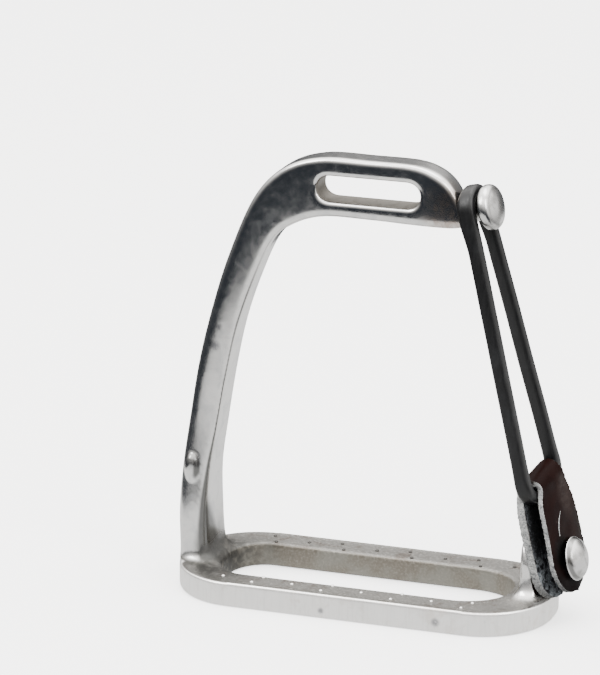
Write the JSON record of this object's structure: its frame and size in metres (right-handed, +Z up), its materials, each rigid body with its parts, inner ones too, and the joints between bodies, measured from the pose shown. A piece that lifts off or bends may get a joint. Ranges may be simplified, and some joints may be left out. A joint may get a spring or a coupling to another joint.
{
  "type": "safety stirrup iron",
  "caption": "Quick-release safety stirrup iron: a cast frame open on its outer side, closed by a rubber ring held on a knob and by a folded leather tab on a stud.",
  "frame": {"origin": "bottom centre of the whole object's bounding box, in the plane the tread stands on", "axes": "+X along the tread towards the open side with the rubber ring, +Y from the front to the back, +Z up towards the slot for the stirrup leather"},
  "size_m": [0.1494, 0.055, 0.1608],
  "materials": {
    "stainless_steel": "polished arch, satin outer walls and rough matte tread",
    "turned_steel": "satin, turned",
    "black_rubber": "satin black",
    "brown_leather": "smooth dark brown grain, pale raw edges"
  },
  "bodies": {
    "iron": {"iron_frame": "stainless_steel", "top_knob": "turned_steel", "tab_stud": "turned_steel"},
    "tab": {"leather_tab": "brown_leather"},
    "ring": {"rubber_ring": "black_rubber"}
  },
  "joints": [
    {"name": "tab_swing", "type": "hinge", "parent": "iron", "child": "tab", "pos_m": [0.06453, 0, 0.0218], "axis": [0.965, -0.1045, 0.2406], "range_deg": [-25, 25], "deforming": ["rubber_ring"]},
    {"name": "ring_release", "type": "hinge", "parent": "tab", "child": "ring", "pos_m": [0.05836, 0, 0.04654], "axis": [0.1014, 0.9945, 0.0253], "range_deg": [0, 110], "deforming": ["rubber_ring"]}
  ]
}
